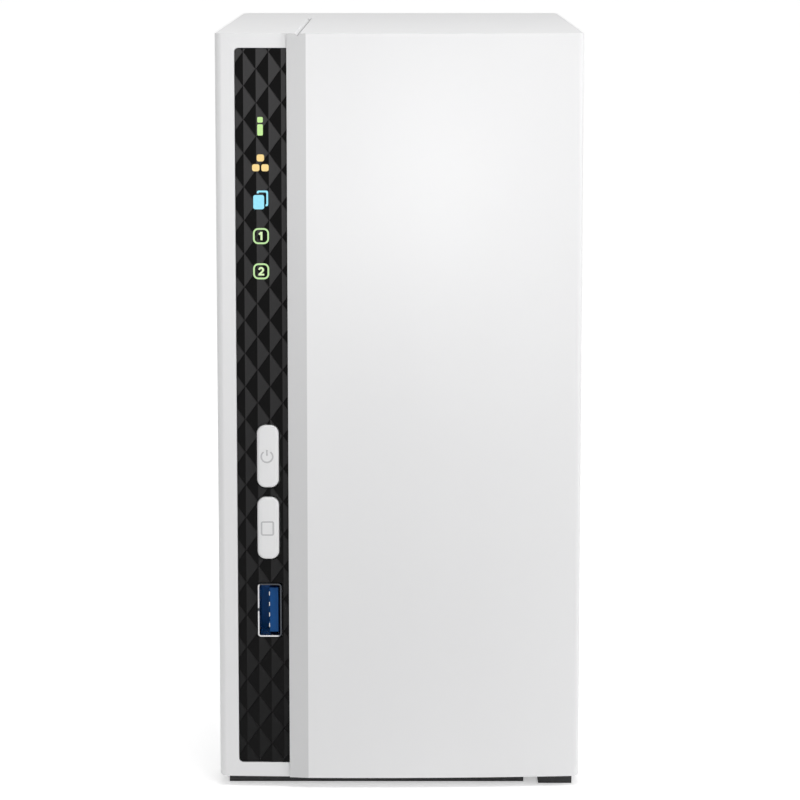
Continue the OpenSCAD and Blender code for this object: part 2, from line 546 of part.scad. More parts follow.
// Head arms parked near the hub, turning about their pivot, with the coil tail behind
module head_arms(cx) translate([0, arm_y, arm_z]) rotate([-20, 0, 0]) difference() {
    union() {
        rod_x(0, 0, cx - 5.7, cx + 7.5, 7);
        bx(cx - 1.5, cx + 1.5, -5, 5, -12, 0);
        bx(cx - 0.5, cx + 0.8, -2.6, 2.6, 0, 44);
        bx(cx + 5.2, cx + 6.2, -2.6, 2.6, 0, 44);
        bx(cx - 2.3, cx + 2.6, -1.4, 1.4, 42, 45);
        bx(cx + 4.7, cx + 6.2, -1.4, 1.4, 42, 45);
    }
    rod_x(0, 0, cx - 6, cx + 8, 3.05);
}
module drive_1_head_arms() color("silver") place() head_arms(drive_x[0]);
module drive_2_head_arms() color("silver") place() head_arms(drive_x[1]);
module drive_1_platters() color("gainsboro") place() platters(drive_x[0]);
module drive_2_platters() color("gainsboro") place() platters(drive_x[1]);

// ---------------------------------------------------------------- fan
module fan_frame() color("#151515") place() union() {
    difference() {
        union() {
            rplate(fan_x, fan_z, fan_w, fan_w, 4, fan_y0, fan_y0 + 3.5);
            rplate(fan_x, fan_z, fan_w, fan_w, 4, fan_y1 - 3.5, fan_y1);
            rod_y(fan_x, fan_z, fan_y0 + 1, fan_y1 - 1, fan_w / 2 - 0.1);
        }
        rod_y(fan_x, fan_z, fan_y0 - 1, fan_y1 + 1, 28.4);
        for (i = [-1, 1], j = [-1, 1]) rod_y(fan_x + i * fan_hole, fan_z + j * fan_hole, fan_y0 - 1, fan_y1 + 1, 2.15);
    }
    difference() {
        union() {
            rod_y(fan_x, fan_z, fan_y1 - 2.4, fan_y1 - 0.2, 13);
            for (a = [45, 135, 225, 315]) translate([fan_x, 0, fan_z]) rotate([0, a, 0]) bx(11, 28.8, fan_y1 - 3.2, fan_y1 - 0.4, -1.4, 1.4);
            rod_y(fan_x, fan_z, 136, fan_y1 - 1, 4.0);
        }
        rod_y(fan_x, fan_z, 135, fan_y1 - 1.2, 1.55);
    }
}
module fan_rotor() color("#1b1b1b") place() union() {
    difference() {
        rod_y(fan_x, fan_z, 130.4, 149.6, 13.4);
        rod_y(fan_x, fan_z, 131.8, 150, 12.0);
    }
    rod_y(fan_x, fan_z, 131, 151.8, 1.5);
    difference() {
        intersection() {
            for (i = [0:fan_blades - 1]) translate([fan_x, 139.5, fan_z]) rotate([0, i * 360 / fan_blades, 0]) rotate([38, 0, 0])
                translate([12.6, -0.65, -13]) cube([17, 1.3, 26]);
            rod_y(fan_x, fan_z, 131, 148.6, 27.5);
        }
        rod_y(fan_x, fan_z, 130, 150, 12.9);
    }
}
module fan_stator() color("#b46a3c") place() difference() {
    rod_y(fan_x, fan_z, 137, 147, 10.8);
    rod_y(fan_x, fan_z, 136, 148, 4.02);
    for (a = [0:60:359]) translate([fan_x, 0, fan_z]) rotate([0, a, 0]) bx(7, 12, 136, 148, -0.8, 0.8);
}

// ---------------------------------------------------------------- fasteners
module case_screws() color("silver") place() for (i = [-1, 1], z = case_screw_z) screw_y(i * case_screw_x, z, body_d - 0.2, -1, 2.75, 1.3, i < 0 ? 1.3 : 1.42, 10);
module fan_screws() color("silver") place() for (i = [-1, 1], j = [-1, 1]) screw_y(fan_x + i * fan_hole, fan_z + j * fan_hole, body_d - 0.2, -1, 3.5, 1.3, 2.1, 6);
module board_screws() color("silver") place() {
    for (h = board_holes) translate([pcb_x1 + 1.7, h[0], h[1]]) rotate([0, -90, 0]) screw(2.7, 1.7, 1.3, 6);
    for (h = back_holes) translate([h[0], h[1], 11.3]) rotate([180, 0, 0]) screw(2.7, 1.7, 1.3, 6);
}
module cage_screws() color("silver") place() for (h = cage_holes) translate([h[0], h[1], 3.4]) screw(3.0, 1.9, 1.5, 9.7);
module drive_screws() color("silver") place() for (cx = drive_x, z = [drive_z0 + 28.5, drive_z0 + 130.1]) {
    screw_y(cx - 6.7, z, 5.05, 1, 2.9, 0.95, 1.6, 5.4);
    screw_y(cx - 6.7, z, 110.15, -1, 2.9, 0.95, 1.6, 5.4);
}

chassis_shell();
rear_panel();
case_cover();
front_strip();
foot_bars();
cover_foot();
power_button();
copy_button();
status_light_guide();
lan_light_guide();
usb_light_guide();
disk_light_guides();
indicator_leds();
tact_switches();
power_switch_plunger();
copy_switch_plunger();
reset_plunger();
front_usb_shell();
front_usb_tongue();
front_usb_contacts();
mainboard();
processor();
thermal_pad();
heat_sink();
board_chips();
capacitors();
inductors();
coin_cell_holder();
coin_cell();
buzzer();
fan_header();
fan_plug();
fan_lead();
lan_jack_shell();
lan_jack_insert();
rear_usb_shells();
rear_usb_tongues();
dc_jack();
backplane_board();
board_connector();
sata_connectors();
drive_cage();
drive_tray_1();
drive_tray_2();
hard_drive_1();
hard_drive_2();
drive_lids();
drive_boards();
drive_1_platters();
drive_2_platters();
drive_1_head_arms();
drive_2_head_arms();
fan_frame();
fan_rotor();
fan_stator();
case_screws();
fan_screws();
board_screws();
cage_screws();
drive_screws();
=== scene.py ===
import json
import math
import bpy
import bmesh
from mathutils import Vector, Matrix


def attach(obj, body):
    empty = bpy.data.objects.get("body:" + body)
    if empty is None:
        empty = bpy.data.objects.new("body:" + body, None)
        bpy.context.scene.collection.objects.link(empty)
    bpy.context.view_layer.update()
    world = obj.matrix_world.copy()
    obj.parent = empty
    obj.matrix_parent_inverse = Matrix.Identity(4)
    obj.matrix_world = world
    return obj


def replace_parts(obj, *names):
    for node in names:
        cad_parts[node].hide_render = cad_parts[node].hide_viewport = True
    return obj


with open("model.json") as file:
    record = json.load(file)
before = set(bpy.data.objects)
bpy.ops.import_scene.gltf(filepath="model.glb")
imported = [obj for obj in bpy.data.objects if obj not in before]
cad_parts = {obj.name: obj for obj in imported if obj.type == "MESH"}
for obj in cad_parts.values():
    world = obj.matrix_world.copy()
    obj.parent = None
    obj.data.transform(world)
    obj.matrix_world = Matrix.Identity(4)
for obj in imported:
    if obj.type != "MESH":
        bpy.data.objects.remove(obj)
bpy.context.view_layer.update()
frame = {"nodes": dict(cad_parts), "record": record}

MM = 0.001
Y0 = -78.13  # the CAD front plane, mm
SC = bpy.context.scene
COL = SC.collection
NODES = frame["nodes"]


# ------------------------------------------------------------------ materials
def new_mat(name):
    m = bpy.data.materials.new(name)
    m.use_nodes = True
    nt = m.node_tree
    for n in list(nt.nodes):
        nt.nodes.remove(n)
    out = nt.nodes.new("ShaderNodeOutputMaterial")
    bs = nt.nodes.new("ShaderNodeBsdfPrincipled")
    nt.links.new(bs.outputs[0], out.inputs[0])
    return m, nt, bs


def node(nt, kind, **props):
    n = nt.nodes.new(kind)
    for k, v in props.items():
        if k.startswith("in_"):
            n.inputs[k[3:].replace("_", " ")].default_value = v
        else:
            setattr(n, k, v)
    return n


def noise(nt, coord, scale, detail=4.0, rough=0.55, stretch=None):
    src = coord
    if stretch:
        mp = node(nt, "ShaderNodeMapping")
        mp.inputs["Scale"].default_value = stretch
        nt.links.new(coord, mp.inputs["Vector"])
        src = mp.outputs[0]
    n = node(nt, "ShaderNodeTexNoise")
    n.inputs["Scale"].default_value = scale
    n.inputs["Detail"].default_value = detail
    n.inputs["Roughness"].default_value = rough
    nt.links.new(src, n.inputs["Vector"])
    return n.outputs["Fac"]


def ramp2(nt, fac, c0, c1, p0=0.3, p1=0.7):
    r = node(nt, "ShaderNodeValToRGB")
    r.color_ramp.elements[0].position = p0
    r.color_ramp.elements[1].position = p1
    r.color_ramp.elements[0].color = (*c0, 1)
    r.color_ramp.elements[1].color = (*c1, 1)
    nt.links.new(fac, r.inputs[0])
    return r.outputs[0]


def rng(nt, fac, lo, hi, a=0.3, b=0.7):
    r = node(nt, "ShaderNodeMapRange")
    r.inputs["From Min"].default_value = a
    r.inputs["From Max"].default_value = b
    r.inputs["To Min"].default_value = lo
    r.inputs["To Max"].default_value = hi
    nt.links.new(fac, r.inputs["Value"])
    return r.outputs[0]


def shade(c, k):
    return tuple(min(1.0, max(0.0, x * k)) for x in c)


def surface(name, base, rough=0.45, metal=0.0, vary=0.04, rvary=0.06, big=30.0, fine=2500.0, bump=0.15, dist=0.00003,
            coat=0.0, coat_r=0.2, ior=1.46, stretch=None, spec=0.5, emit=None, emit_s=0.0, sheen=0.0):
    m, nt, bs = new_mat(name)
    co = node(nt, "ShaderNodeTexCoord").outputs["Object"]
    nb = noise(nt, co, big, 5.0)
    nf = noise(nt, co, fine, 2.0, 0.5, stretch)
    nt.links.new(ramp2(nt, nb, shade(base, 1 - vary), shade(base, 1 + vary)), bs.inputs["Base Color"])
    nt.links.new(rng(nt, nf, max(0.02, rough - rvary), min(1.0, rough + rvary)), bs.inputs["Roughness"])
    bp = node(nt, "ShaderNodeBump")
    bp.inputs["Strength"].default_value = bump
    bp.inputs["Distance"].default_value = dist
    nt.links.new(nf, bp.inputs["Height"])
    nt.links.new(bp.outputs[0], bs.inputs["Normal"])
    bs.inputs["Metallic"].default_value = metal
    bs.inputs["IOR"].default_value = ior
    bs.inputs["Specular IOR Level"].default_value = spec
    bs.inputs["Coat Weight"].default_value = coat
    bs.inputs["Coat Roughness"].default_value = coat_r
    if sheen:
        bs.inputs["Sheen Weight"].default_value = sheen
    if emit:
        bs.inputs["Emission Color"].default_value = (*emit, 1)
        bs.inputs["Emission Strength"].default_value = emit_s
    return m


M = {}
M["white_plastic"] = surface("white_plastic", (0.775, 0.775, 0.78), rough=0.42, vary=0.008, rvary=0.05, big=12, fine=2600, bump=0.12, dist=0.00002)
M["white_panel"] = surface("white_panel", (0.75, 0.75, 0.755), rough=0.5, vary=0.012, rvary=0.06, big=20, fine=1800, bump=0.25, dist=0.00003)
M["foot_rubber"] = surface("foot_rubber", (0.035, 0.035, 0.036), rough=0.75, vary=0.15, big=120, fine=3000, bump=0.4, dist=0.00005)
M["button_grey"] = surface("button_grey", (0.76, 0.76, 0.765), rough=0.38, vary=0.012, rvary=0.05, big=60, fine=3200, bump=0.12, dist=0.00002)
M["button_mark"] = surface("button_mark", (0.52, 0.52, 0.53), rough=0.45, vary=0.02, big=100, fine=3000, bump=0.1, dist=0.00001)
M["black_plastic"] = surface("black_plastic", (0.012, 0.012, 0.013), rough=0.45, vary=0.2, big=80, fine=2600, bump=0.25, dist=0.00003)
M["plunger_grey"] = surface("plunger_grey", (0.06, 0.06, 0.06), rough=0.5, vary=0.1, big=80, fine=2600, bump=0.2, dist=0.00002)
M["tray_black"] = surface("tray_black", (0.016, 0.016, 0.017), rough=0.5, vary=0.15, big=50, fine=1800, bump=0.35, dist=0.00005)
M["fan_black"] = surface("fan_black", (0.014, 0.014, 0.015), rough=0.38, vary=0.15, big=60, fine=2200, bump=0.15, dist=0.00002)
M["plated_shell"] = surface("plated_shell", (0.78, 0.78, 0.79), rough=0.22, metal=1.0, vary=0.05, rvary=0.07, big=180, fine=1500, bump=0.1, dist=0.00002, stretch=(1, 0.15, 1))
M["usb_blue"] = surface("usb_blue", (0.0028, 0.06, 0.21), rough=0.36, spec=0.2, vary=0.08, big=200, fine=3000, bump=0.15, dist=0.00002)
M["gold_contact"] = surface("gold_contact", (0.86, 0.62, 0.26), rough=0.2, metal=1.0, vary=0.05, big=300, fine=3000, bump=0.1, dist=0.00001)
M["chip_black"] = surface("chip_black", (0.013, 0.013, 0.014), rough=0.55, vary=0.15, big=150, fine=4000, bump=0.3, dist=0.00003)
M["pad_grey"] = surface("pad_grey", (0.36, 0.42, 0.5), rough=0.8, vary=0.06, big=120, fine=2000, bump=0.3, dist=0.00004)
M["sink_aluminium"] = surface("sink_aluminium", (0.74, 0.75, 0.77), rough=0.34, metal=1.0, vary=0.05, rvary=0.1, big=60, fine=900, bump=0.2, dist=0.00003, stretch=(1, 1, 0.05))
M["can_aluminium"] = surface("can_aluminium", (0.62, 0.63, 0.66), rough=0.3, metal=1.0, vary=0.06, big=200, fine=1500, bump=0.15, dist=0.00002)
M["ferrite_grey"] = surface("ferrite_grey", (0.07, 0.07, 0.075), rough=0.6, vary=0.15, big=300, fine=2600, bump=0.5, dist=0.00005)
M["cell_steel"] = surface("cell_steel", (0.72, 0.72, 0.72), rough=0.28, metal=1.0, vary=0.04, rvary=0.08, big=80, fine=1200, bump=0.12, dist=0.00002, stretch=(1, 1, 0.08))
M["ivory_plastic"] = surface("ivory_plastic", (0.72, 0.68, 0.55), rough=0.45, vary=0.03, big=120, fine=3000, bump=0.15, dist=0.00002)
M["led_body"] = surface("led_body", (0.75, 0.73, 0.65), rough=0.4, vary=0.03, big=200, fine=3000, bump=0.1, dist=0.00002)
M["cage_steel"] = surface("cage_steel", (0.62, 0.63, 0.65), rough=0.36, metal=1.0, vary=0.1, rvary=0.12, big=45, fine=260, bump=0.15, dist=0.00003)
M["drive_cast"] = surface("drive_cast", (0.24, 0.245, 0.255), rough=0.42, metal=0.9, vary=0.08, rvary=0.08, big=60, fine=1400, bump=0.5, dist=0.00006)
M["drive_lid"] = surface("drive_lid", (0.40, 0.41, 0.43), rough=0.38, metal=1.0, vary=0.03, rvary=0.05, big=16, fine=1400, bump=0.04, dist=0.00001, stretch=(1, 0.02, 1))
M["platter"] = surface("platter", (0.82, 0.82, 0.84), rough=0.05, metal=1.0, vary=0.01, rvary=0.02, big=20, fine=800, bump=0.02, dist=0.00001)
M["copper"] = surface("copper", (0.62, 0.27, 0.12), rough=0.32, metal=1.0, vary=0.12, big=300, fine=1800, bump=0.7, dist=0.0001, stretch=(1, 3, 1))
M["screw_steel"] = surface("screw_steel", (0.6, 0.6, 0.62), rough=0.27, metal=1.0, vary=0.06, rvary=0.08, big=250, fine=1500, bump=0.12, dist=0.00002)
M["lead_sleeve"] = surface("lead_sleeve", (0.014, 0.014, 0.015), rough=0.65, vary=0.2, big=600, fine=2600, bump=0.8, dist=0.0001, stretch=(1, 1, 1))

M["ferrite_tan"] = surface("ferrite_tan", (0.30, 0.20, 0.11), rough=0.5, vary=0.1, big=300, fine=3000, bump=0.2, dist=0.00002)
M["solder"] = surface("solder", (0.66, 0.66, 0.66), rough=0.28, metal=1.0, vary=0.05, big=300, fine=2500, bump=0.2, dist=0.00002)


def board_mat():
    m, nt, bs = new_mat("board_green")
    co = node(nt, "ShaderNodeTexCoord").outputs["Object"]
    nb = noise(nt, co, 60, 4)
    base = ramp2(nt, nb, (0.008, 0.075, 0.035), (0.012, 0.10, 0.048))
    br = node(nt, "ShaderNodeTexBrick")
    br.offset = 0.37
    br.squash = 1.6
    br.inputs["Scale"].default_value = 220
    br.inputs["Mortar Size"].default_value = 0.035
    br.inputs["Color1"].default_value = (0, 0, 0, 1)
    br.inputs["Color2"].default_value = (0, 0, 0, 1)
    br.inputs["Mortar"].default_value = (1, 1, 1, 1)
    mp = node(nt, "ShaderNodeMapping")
    mp.inputs["Rotation"].default_value = (0, math.radians(90), 0)
    nt.links.new(co, mp.inputs["Vector"])
    nt.links.new(mp.outputs[0], br.inputs["Vector"])
    mx = node(nt, "ShaderNodeMix", data_type="RGBA")
    nt.links.new(br.outputs["Color"], mx.inputs["Factor"])
    nt.links.new(base, mx.inputs["A"])
    mx.inputs["B"].default_value = (0.03, 0.17, 0.08, 1)
    nt.links.new(mx.outputs["Result"], bs.inputs["Base Color"])
    nt.links.new(rng(nt, nb, 0.25, 0.38), bs.inputs["Roughness"])
    bp = node(nt, "ShaderNodeBump")
    bp.inputs["Strength"].default_value = 0.3
    bp.inputs["Distance"].default_value = 0.00003
    nt.links.new(br.outputs["Color"], bp.inputs["Height"])
    nt.links.new(bp.outputs[0], bs.inputs["Normal"])
    bs.inputs["Coat Weight"].default_value = 0.3
    return m


M["board_green"] = board_mat()


def strip_mat():
    """Dark moulded film with painted light: the faces that lean to the right carry a painted highlight standing in for
    a light at the upper right, and that painted highlight fades towards the bottom.
    """
    m, nt, bs = new_mat("strip_black")
    tc = node(nt, "ShaderNodeTexCoord")
    co = tc.outputs["Object"]
    geo = node(nt, "ShaderNodeNewGeometry")
    sep = node(nt, "ShaderNodeSeparateXYZ")
    nt.links.new(geo.outputs["True Normal"], sep.inputs[0])
    pos = node(nt, "ShaderNodeSeparateXYZ")
    nt.links.new(co, pos.inputs[0])
    # painted highlight: faces that lean to the right are painted lighter, from a darker colour at the bottom to a
    # lighter one at the top
    lean = rng(nt, sep.outputs["X"], 0.0, 1.0, -0.055, -0.02)
    light = ramp2(nt, rng(nt, pos.outputs["Z"], 0, 1, 0.0, 0.19), STRIP_PAINTED_HIGHLIGHT_LOW, STRIP_PAINTED_HIGHLIGHT_TOP, 0.05, 1.0)
    dark = ramp2(nt, noise(nt, co, 90, 3), (0.0028, 0.0027, 0.0028), (0.0040, 0.0039, 0.0040))
    mx = node(nt, "ShaderNodeMix", data_type="RGBA")
    nt.links.new(lean, mx.inputs["Factor"])
    nt.links.new(dark, mx.inputs["A"])
    nt.links.new(light, mx.inputs["B"])
    nf = noise(nt, co, 5200, 2)
    mx2 = node(nt, "ShaderNodeMix", data_type="RGBA", blend_type="MULTIPLY")
    mx2.inputs["Factor"].default_value = 0.35
    nt.links.new(mx.outputs["Result"], mx2.inputs["A"])
    nt.links.new(ramp2(nt, nf, (0.75, 0.75, 0.75), (1, 1, 1)), mx2.inputs["B"])
    nt.links.new(mx2.outputs["Result"], bs.inputs["Base Color"])
    nt.links.new(rng(nt, nf, 0.38, 0.5), bs.inputs["Roughness"])
    bs.inputs["Specular IOR Level"].default_value = 0.11
    bp = node(nt, "ShaderNodeBump")
    bp.inputs["Strength"].default_value = 0.15
    bp.inputs["Distance"].default_value = 0.00002
    nt.links.new(nf, bp.inputs["Height"])
    nt.links.new(bp.outputs[0], bs.inputs["Normal"])
    return m


# colours of the painted highlight on the right-leaning faces, at the bottom and at the top of the strip
STRIP_PAINTED_HIGHLIGHT_LOW = (0.0108, 0.0108, 0.0110)
STRIP_PAINTED_HIGHLIGHT_TOP = (0.0495, 0.0485, 0.0495)
M["strip_black"] = strip_mat()


def glow(name, base, col, strength):
    m, nt, bs = new_mat(name)
    co = node(nt, "ShaderNodeTexCoord").outputs["Object"]
    nf = noise(nt, co, 1800, 2)
    nt.links.new(ramp2(nt, nf, shade(base, 0.95), base), bs.inputs["Base Color"])
    nt.links.new(ramp2(nt, nf, shade(col, 0.93), col), bs.inputs["Emission Color"])
    bs.inputs["Emission Strength"].default_value = strength
    nt.links.new(rng(nt, nf, 0.3, 0.4), bs.inputs["Roughness"])
    return m


M["guide_green"] = glow("guide_green", (0.1, 0.14, 0.08), (0.56, 0.86, 0.30), 0.86)
M["guide_amber"] = glow("guide_amber", (0.14, 0.1, 0.05), (0.90, 0.66, 0.26), 0.95)
M["guide_cyan"] = glow("guide_cyan", (0.05, 0.1, 0.12), (0.30, 0.78, 0.95), 0.92)
M["guide_window"] = glow("guide_window", (0.1, 0.14, 0.08), (0.50, 0.76, 0.34), 0.88)
M["guide_digit"] = glow("guide_digit", (0.1, 0.14, 0.08), (0.66, 0.84, 0.46), 0.92)
M["guide_dim"] = glow("guide_dim", (0.004, 0.012, 0.003), (0.0, 0.9, 0.02), 0.008)
M["guide_clear"] = surface("guide_clear", (0.62, 0.64, 0.62), rough=0.25, vary=0.03, big=200, fine=2400, bump=0.12, dist=0.00002, coat=0.3)


# ------------------------------------------------------------------ mesh helpers
def obj_from_bm(bm, name, mats, body, smooth=False):
    me = bpy.data.meshes.new(name)
    bmesh.ops.recalc_face_normals(bm, faces=bm.faces)
    bm.to_mesh(me)
    bm.free()
    ob = bpy.data.objects.new(name, me)
    COL.objects.link(ob)
    for m in mats if isinstance(mats, (list, tuple)) else [mats]:
        me.materials.append(m)
    if smooth:
        for p in me.polygons:
            p.use_smooth = True
    if body:
        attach(ob, body)
    return ob


def rr_outline(cx, cz, w, h, r, n=8, corners=(1, 1, 1, 1)):
    """Rounded rectangle in XZ, mm, counter-clockwise seen from the front (-Y). corners: right-top, left-top, left-bottom, right-bottom."""
    pts = []
    for i, (sx, sz, a0) in enumerate([(1, 1, 0), (-1, 1, 90), (-1, -1, 180), (1, -1, 270)]):
        x, z = cx + sx * w / 2, cz + sz * h / 2
        if corners[i] and r > 0:
            ox, oz = x - sx * r, z - sz * r
            for k in range(n + 1):
                a = math.radians(a0 + 90 * k / n)
                pts.append((ox + r * math.cos(a), oz + r * math.sin(a)))
        else:
            pts.append((x, z))
    return pts


def add_prism(bm, pts, ya, yb, mat=0, slope=None):
    """Closed prism over an XZ outline between two depths (mm). slope(x) adds to the front depth ya."""
    f = [bm.verts.new((x * MM, (ya + (slope(x) if slope else 0)) * MM, z * MM)) for x, z in pts]
    b = [bm.verts.new((x * MM, yb * MM, z * MM)) for x, z in pts]
    faces = [bm.faces.new(f), bm.faces.new(list(reversed(b)))]
    n = len(pts)
    for i in range(n):
        faces.append(bm.faces.new((f[(i + 1) % n], f[i], b[i], b[(i + 1) % n])))
    for x in faces:
        x.material_index = mat
    return faces


def add_box(bm, x0, x1, y0, y1, z0, z1, mat=0):
    v = [bm.verts.new((x * MM, y * MM, z * MM)) for x in (x0, x1) for y in (y0, y1) for z in (z0, z1)]
    for q in ((0, 1, 3, 2), (4, 6, 7, 5), (0, 4, 5, 1), (2, 3, 7, 6), (0, 2, 6, 4), (1, 5, 7, 3)):
        f = bm.faces.new([v[i] for i in q])
        f.material_index = mat


def add_cyl_y(bm, cx, cz, ya, yb, r, n=32, mat=0):
    add_prism(bm, [(cx + r * math.cos(2 * math.pi * k / n), cz + r * math.sin(2 * math.pi * k / n)) for k in range(n)], ya, yb, mat)


def ring_prism(bm, outer, inner, ya, yb, mat=0, slope=None):
    """Closed ring between two outlines with the same number of points."""
    n = len(outer)
    s = slope or (lambda x: 0)
    V = [[bm.verts.new((x * MM, (ya + s(x)) * MM, z * MM)) for x, z in ol] for ol in (outer, inner)]
    W = [[bm.verts.new((x * MM, yb * MM, z * MM)) for x, z in ol] for ol in (outer, inner)]
    for i in range(n):
        j = (i + 1) % n
        for q in ((V[0][i], V[0][j], V[1][j], V[1][i]), (W[0][j], W[0][i], W[1][i], W[1][j]),
                  (V[0][j], V[0][i], W[0][i], W[0][j]), (V[1][i], V[1][j], W[1][j], W[1][i])):
            f = bm.faces.new(q)
            f.material_index = mat


def boolean(ob, cutter, op):
    md = ob.modifiers.new("b", "BOOLEAN")
    md.operation = op
    md.object = cutter
    md.solver = "EXACT"
    dg = bpy.context.evaluated_depsgraph_get()
    me = bpy.data.meshes.new_from_object(ob.evaluated_get(dg))
    ob.modifiers.remove(md)
    old = ob.data
    ob.data = me
    bpy.data.meshes.remove(old)
    cm = cutter.data
    bpy.data.objects.remove(cutter)
    bpy.data.meshes.remove(cm)


def bow(x):
    return 640 - math.sqrt(640 * 640 - (x + 9) ** 2)


SX0, SX1 = -40.2, -25.4
SYA, SYB = bow(SX0) + 1.39, bow(SX1) + 1.39


def strip_y(x):
    """Depth of the strip's plane at x, mm, in the row frame."""
    return Y0 + SYA + (SYB - SYA) * (x - SX0) / (SX1 - SX0)


# ------------------------------------------------------------------ control strip
def make_strip():
    D, PX, PZ, GAP = 0.2, 3.09, 8.237, 0.055
    bm = bmesh.new()
    cols = range(-2, 6)
    tiles = {}

    def vert(x, z, h):
        return bm.verts.new((x * MM, (strip_y(x) + D - h) * MM, z * MM))

    for k in cols:
        xk = -38.15 + PX * k
        off = 0 if k % 2 == 0 else PZ / 2
        for n in range(-3, 24):
            zb = 11.15 + PZ * n + off
            gz = GAP * 2.9
            t = {"B": vert(xk, zb + gz, D), "T": vert(xk, zb + PZ - gz, D),
                 "L": vert(xk - PX + GAP, zb + PZ / 2, 0.0), "R": vert(xk + PX - GAP, zb + PZ / 2, 0.0)}
            bm.faces.new((t["B"], t["T"], t["L"]))
            bm.faces.new((t["B"], t["R"], t["T"]))
            tiles[(k, n)] = t
    for (k, n), t in tiles.items():
        up = (k + 1, n) if k % 2 == 0 else (k + 1, n + 1)
        dn = (k + 1, n - 1) if k % 2 == 0 else (k + 1, n)
        if up in tiles:
            u = tiles[up]
            bm.faces.new((t["T"], t["R"], u["B"], u["L"]))
        if dn in tiles:
            d = tiles[dn]
            bm.faces.new((t["R"], t["B"], d["L"], d["T"]))
        lf, ab, rt = (k - 1, n + (0 if k % 2 == 0 else 1)), (k, n + 1), (k + 1, n + (0 if k % 2 == 0 else 1))
        if lf in tiles and ab in tiles and rt in tiles:
            bm.faces.new((tiles[lf]["R"], t["T"], tiles[rt]["L"], tiles[ab]["B"]))
    edges = [e for e in bm.edges if len(e.link_faces) == 1]
    ext = bmesh.ops.extrude_edge_only(bm, edges=edges)["geom"]
    vs = [g for g in ext if isinstance(g, bmesh.types.BMVert)]
    for v in vs:
        v.co.y = (Y0 + 4.0) * MM
    es = [e for e in bm.edges if len(e.link_faces) == 1]
    bmesh.ops.holes_fill(bm, edges=es, sides=0)
    bmesh.ops.triangulate(bm, faces=[f for f in bm.faces if len(f.verts) > 3])
    ob = obj_from_bm(bm, "control_strip", M["strip_black"], None)
    c = bmesh.new()
    w, h = SX1 - SX0, 185.05 - 6.5
    add_prism(c, rr_outline((SX0 + SX1) / 2, (185.05 + 6.5) / 2, w, h, 1.0, 8, (0, 1, 1, 0)), Y0 + 0.9, Y0 + 2.98)
    boolean(ob, obj_from_bm(c, "cut_a", M["strip_black"], None), "INTERSECT")
    c = bmesh.new()
    for z in (84.3, 66.24):
        add_prism(c, rr_outline(-32.55, z, 5.8, 16.2, 2.3, 10), Y0 - 2, Y0 + 6)
    add_prism(c, rr_outline(-32.34, 45.4, 6.3, 13.9, 0.5, 4), Y0 - 2, Y0 + 6)
    boolean(ob, obj_from_bm(c, "cut_b", M["strip_black"], None), "DIFFERENCE")
    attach(ob, "chassis")
    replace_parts(ob, "front_strip")
    return ob


strip = make_strip()


# ------------------------------------------------------------------ lit icons
PROUD = -0.015


def icon(bm, outline, mat=0):
    add_prism(bm, outline, PROUD, Y0 + 2.95, mat, slope=strip_y)


def icon_ring(bm, cx, cz, w, h, r, t, mat=0):
    ring_prism(bm, rr_outline(cx, cz, w, h, r, 6), rr_outline(cx, cz, w - 2 * t, h - 2 * t, max(0.05, r - t), 6), PROUD, Y0 + 2.95, mat, slope=strip_y)


def guide_block(bm, cz, mat=1):
    add_box(bm, -36.25, -31.75, Y0 + 3.02, Y0 + 7.8, cz - 2.5, cz + 2.5, mat)
    add_box(bm, -35.1, -33.4, Y0 + 7.78, Y0 + 8.6, cz - 1.4, cz + 1.4, mat)


def finish_icon(bm, name, key, node_name):
    o = obj_from_bm(bm, name, [M[key], M["guide_clear"], M["guide_digit"], M["guide_dim"]], "chassis")
    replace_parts(o, node_name)
    return o


b = bmesh.new()
icon(b, rr_outline(-34.06, 167.62, 1.36, 1.36, 0.3, 5))
icon(b, rr_outline(-34.06, 165.15, 1.36, 2.75, 0.28, 5))
guide_block(b, 166.0)
finish_icon(b, "status_icon", "guide_green", "status_light_guide")

b = bmesh.new()
for x, z in ((-34.03, 158.3), (-35.17, 155.9), (-32.9, 155.9)):
    icon(b, rr_outline(x, z, 1.8, 1.72, 0.5, 6))
guide_block(b, 157.1)
finish_icon(b, "lan_icon", "guide_amber", "lan_light_guide")

b = bmesh.new()
icon(b, rr_outline(-34.5, 147.45, 2.66, 3.5, 0.5, 6))
# the rear sheet shows as an edge along the top and the right
L = [(-34.95, 149.62), (-34.95, 149.95), (-34.75, 150.25), (-34.45, 150.3), (-32.6, 150.3), (-32.27, 150.2), (-32.17, 149.85),
     (-32.17, 146.9), (-32.3, 146.55), (-32.62, 146.45), (-32.82, 146.45), (-32.82, 146.85), (-32.62, 147.05), (-32.62, 149.6), (-32.8, 149.85), (-34.4, 149.85), (-34.5, 149.62)]
icon(b, list(reversed(L)))
guide_block(b, 148.0)
finish_icon(b, "usb_icon", "guide_cyan", "usb_light_guide")

b = bmesh.new()
for cz in (139.02, 130.33):
    icon_ring(b, -33.99, cz + 0.08, 3.95, 3.95, 1.3, 0.42)
    guide_block(b, cz)
# the digit 1
one = [(-34.12, 138.1), (-33.62, 138.1), (-33.62, 140.15), (-34.06, 140.15), (-34.62, 139.7), (-34.4, 139.3), (-34.12, 139.5)]
icon(b, one, 2)
# the digit 2, as one closed stroke
two = [(-34.68, 129.38), (-33.24, 129.38), (-33.24, 129.82), (-33.98, 129.82), (-33.40, 130.34), (-33.24, 130.72), (-33.36, 131.14), (-33.70, 131.44), (-34.10, 131.48),
       (-34.50, 131.3), (-34.72, 130.86), (-34.28, 130.72), (-34.18, 130.95), (-34.0, 131.02), (-33.82, 130.94), (-33.76, 130.72), (-33.86, 130.5), (-34.68, 129.74)]
icon(b, two, 2)
finish_icon(b, "disk_icons", "guide_window", "disk_light_guides")


